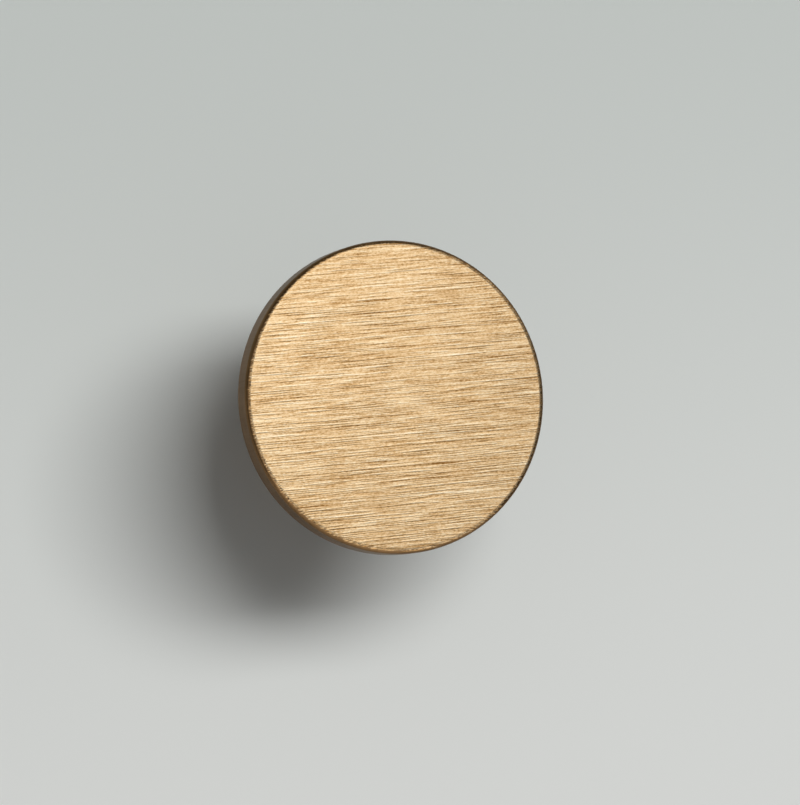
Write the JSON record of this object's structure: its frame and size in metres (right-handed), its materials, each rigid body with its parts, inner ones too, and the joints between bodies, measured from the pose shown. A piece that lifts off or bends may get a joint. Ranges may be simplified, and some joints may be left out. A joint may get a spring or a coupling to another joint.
{
  "type": "cabinet knob",
  "caption": "Flat disc cabinet knob with a brushed round face on a slim stem, screwed to a door or drawer front through a tapped hole in its base.",
  "frame": {"origin": "centre of the mounting face at the foot of the stem", "axes": "+Z along the axis of turning, from the mounting face out to the brushed face; +X along the brushing of the face"},
  "size_m": [0.032, 0.032, 0.025],
  "materials": {
    "brushed_brass": "straight brushed face, satin turned edge and stem, antique tone"
  },
  "bodies": {
    "root": {"knob": "brushed_brass"}
  },
  "joints": []
}
